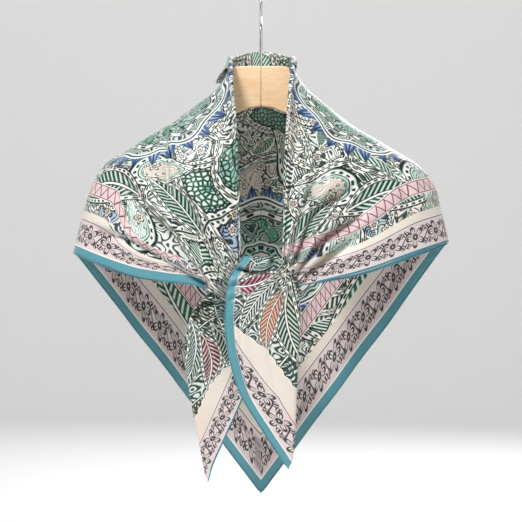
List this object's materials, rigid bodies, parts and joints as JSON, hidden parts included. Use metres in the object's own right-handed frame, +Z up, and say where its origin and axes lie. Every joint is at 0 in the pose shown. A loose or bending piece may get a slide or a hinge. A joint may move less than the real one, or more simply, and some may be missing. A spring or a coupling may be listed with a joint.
{
  "type": "silk square scarf on a wooden hanger",
  "caption": "Printed silk square folded corner to corner, worn over the shoulders and tied in front with hanging ends, on a wooden hanger.",
  "frame": {"origin": "inside top of the hanger's hook, where it rests on its rail", "axes": "+Z up, +X to the viewer's right facing the front, -Y to the front where the knot is"},
  "size_m": [0.4506, 0.1835, 0.6106],
  "materials": {
    "silk": "soft satin sheen, printed",
    "wood": "clear satin lacquer",
    "steel": "polished"
  },
  "bodies": {
    "root": {"cape_front_left": "silk", "cape_front_right": "silk", "cape_back": "silk", "collar_fall": "silk", "knot_core": "silk", "tail_front": "silk", "tail_rear": "silk", "hanger_left": "wood", "hanger_right": "wood", "hanger_hook": "steel"}
  },
  "joints": []
}
